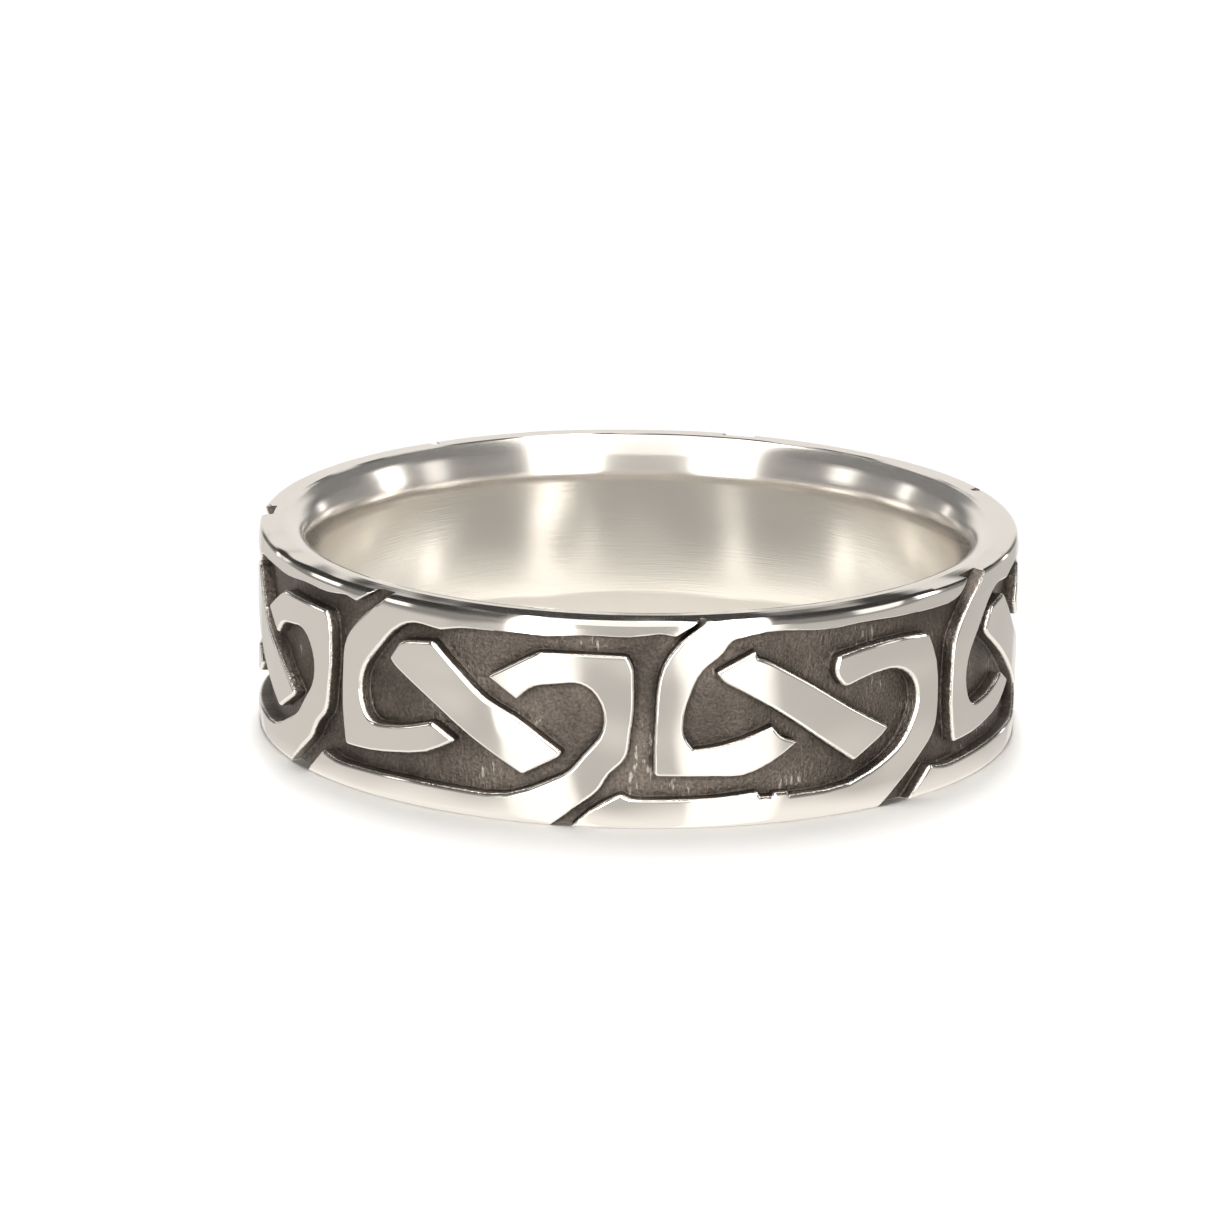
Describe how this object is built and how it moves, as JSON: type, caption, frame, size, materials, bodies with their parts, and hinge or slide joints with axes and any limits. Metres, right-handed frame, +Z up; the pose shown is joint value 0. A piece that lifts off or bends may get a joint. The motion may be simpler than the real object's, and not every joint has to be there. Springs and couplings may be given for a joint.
{
  "type": "celtic knot ring",
  "caption": "One-piece cast silver band ring for a finger, with raised angular knotwork and rails over a sunk dark ground and a rounded comfort mouth.",
  "frame": {"origin": "centre of the finger hole at the plane of the lower rim, which the ring lies on", "axes": "+Z up along the axis of the finger hole; the middle of a gap between two knots faces -Y"},
  "size_m": [0.022, 0.022, 0.006],
  "materials": {
    "silver": "polished sterling silver, sunk ground darkened and left matte"
  },
  "bodies": {
    "root": {"knot_band": "silver"}
  },
  "joints": []
}
